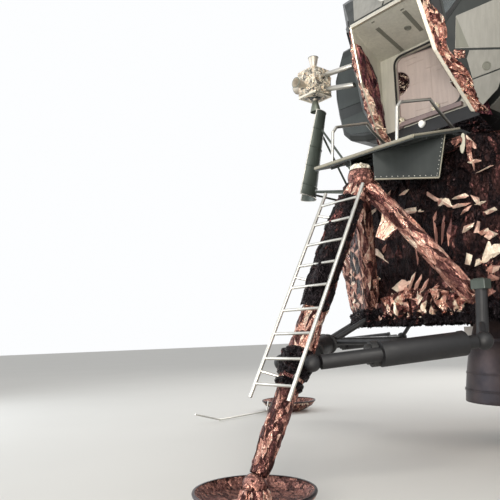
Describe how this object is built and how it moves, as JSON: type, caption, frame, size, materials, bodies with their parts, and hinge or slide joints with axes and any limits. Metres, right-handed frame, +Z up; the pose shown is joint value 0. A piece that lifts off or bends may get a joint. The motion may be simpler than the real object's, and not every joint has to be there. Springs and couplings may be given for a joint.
{
  "type": "crewed lunar landing vehicle",
  "caption": "Two-stage crewed moon lander: octagonal foil-wrapped base on four sprung legs, faceted cabin with hatch, porch and ladder, thruster clusters and radar.",
  "frame": {"origin": "on the ground under the middle of the base", "axes": "+Z up, -Y to the front with hatch and ladder, +X to the crew's left"},
  "size_m": [9.4959, 9.496, 6.9849],
  "materials": {
    "black_foil": "crumpled black thermal foil",
    "copper_foil": "crumpled copper coloured thermal foil",
    "silver_foil": "crumpled silver thermal foil",
    "grey_panel": "grey anodised shield panel",
    "grey_paint": "dull grey paint",
    "white_paint": "white thermal paint",
    "black_paint": "matt black thermal paint",
    "bare_metal": "anodised tube",
    "engine_metal": "dark heat-proof alloy",
    "cabin_paint": "grey cabin paint",
    "window_glass": "clear window glass",
    "lamp_glass": "frosted lamp glass"
  },
  "bodies": {
    "vehicle": {"descent_core": "black_foil", "descent_bay_front_left": "black_foil", "descent_bay_front_right": "black_foil", "descent_bay_rear_left": "black_foil", "descent_bay_rear_right": "black_foil", "descent_deck": "black_foil", "base_heat_shield": "black_foil", "gear_outrigger_front": "copper_foil", "gear_primary_strut_front": "copper_foil", "gear_footpad_front": "copper_foil", "gear_outrigger_left": "copper_foil", "gear_primary_strut_left": "copper_foil", "gear_footpad_left": "copper_foil", "gear_outrigger_aft": "copper_foil", "gear_primary_strut_aft": "copper_foil", "gear_footpad_aft": "copper_foil", "gear_outrigger_right": "copper_foil", "gear_primary_strut_right": "copper_foil", "gear_footpad_right": "copper_foil", "gear_secondary_struts": "black_paint", "gear_trusses": "black_paint", "contact_probes": "bare_metal", "ladder": "bare_metal", "porch_handrails": "bare_metal", "porch": "grey_paint", "front_panel_left": "grey_panel", "front_panel_right": "grey_panel", "brow_panel": "grey_panel", "crown_panel": "grey_panel", "cabin_shell": "grey_panel", "hatch_recess": "grey_panel", "cabin_windows": "window_glass", "cabin_rear_bulkhead": "cabin_paint", "cabin_floor": "cabin_paint", "instrument_panels": "cabin_paint", "ascent_engine_cover": "cabin_paint", "midsection": "grey_panel", "aft_equipment_bay": "grey_panel", "tank_bay_left": "grey_panel", "tank_bay_right": "grey_panel", "docking_tunnel": "bare_metal", "ascent_engine": "engine_metal", "thruster_housings": "silver_foil", "thruster_nozzles": "engine_metal", "thruster_booms": "bare_metal", "plume_deflectors": "grey_paint", "radar_pedestal": "grey_paint", "antenna_mast": "bare_metal", "lamps": "lamp_glass", "fixed_antennas": "white_paint"},
    "gimbal_ring": {"gimbal_ring": "bare_metal"},
    "descent_engine": {"descent_engine": "engine_metal"},
    "forward_hatch": {"forward_hatch": "grey_panel"},
    "overhead_hatch": {"overhead_hatch": "grey_panel"},
    "radar_shaft": {"radar_shaft": "grey_paint"},
    "radar_dish": {"radar_dish": "white_paint"},
    "antenna_fork": {"antenna_fork": "bare_metal"},
    "antenna_dish": {"antenna_dish": "white_paint"},
    "equipment_pallet": {"equipment_pallet": "copper_foil"},
    "landing_radar": {"landing_radar": "white_paint"}
  },
  "joints": [
    {"name": "forward_hatch_hinge", "type": "hinge", "parent": "vehicle", "child": "forward_hatch", "pos_m": [-0.396, -1.533, 4.17], "axis": [0, 0, 1], "range_deg": [-10, 75]},
    {"name": "overhead_hatch_hinge", "type": "hinge", "parent": "vehicle", "child": "overhead_hatch", "pos_m": [0, 0.455, 5.58], "axis": [1, 0, 0], "range_deg": [0, 85]},
    {"name": "radar_shaft_hinge", "type": "hinge", "parent": "vehicle", "child": "radar_shaft", "pos_m": [0, -1.25, 6.3], "axis": [1, 0, 0], "range_deg": [-70, 60]},
    {"name": "radar_trunnion_hinge", "type": "hinge", "parent": "radar_shaft", "child": "radar_dish", "pos_m": [0, -1.25, 6.5], "axis": [0, 0, 1], "range_deg": [-55, 55]},
    {"name": "antenna_azimuth", "type": "hinge", "parent": "vehicle", "child": "antenna_fork", "pos_m": [-1.42, -0.43, 6.04], "axis": [0, 0, 1], "range_deg": [-174, 174]},
    {"name": "antenna_elevation", "type": "hinge", "parent": "antenna_fork", "child": "antenna_dish", "pos_m": [-1.42, -0.43, 6.44], "axis": [1, 0, 0], "range_deg": [-75, 255]},
    {"name": "engine_gimbal_pitch", "type": "hinge", "parent": "vehicle", "child": "gimbal_ring", "pos_m": [0, 0, 2.159], "axis": [1, 0, 0], "range_deg": [-6, 6]},
    {"name": "engine_gimbal_roll", "type": "hinge", "parent": "gimbal_ring", "child": "descent_engine", "pos_m": [0, 0, 2.159], "axis": [0, 1, 0], "range_deg": [-6, 6]},
    {"name": "equipment_pallet_hinge", "type": "hinge", "parent": "vehicle", "child": "equipment_pallet", "pos_m": [1.3715, -1.3715, 1.695], "axis": [0.7071, 0.7071, 0], "range_deg": [0, 107]},
    {"name": "landing_radar_hinge", "type": "hinge", "parent": "vehicle", "child": "landing_radar", "pos_m": [-0.95, 1.05, 1.305], "axis": [1, 0, 0], "range_deg": [0, 24]}
  ]
}
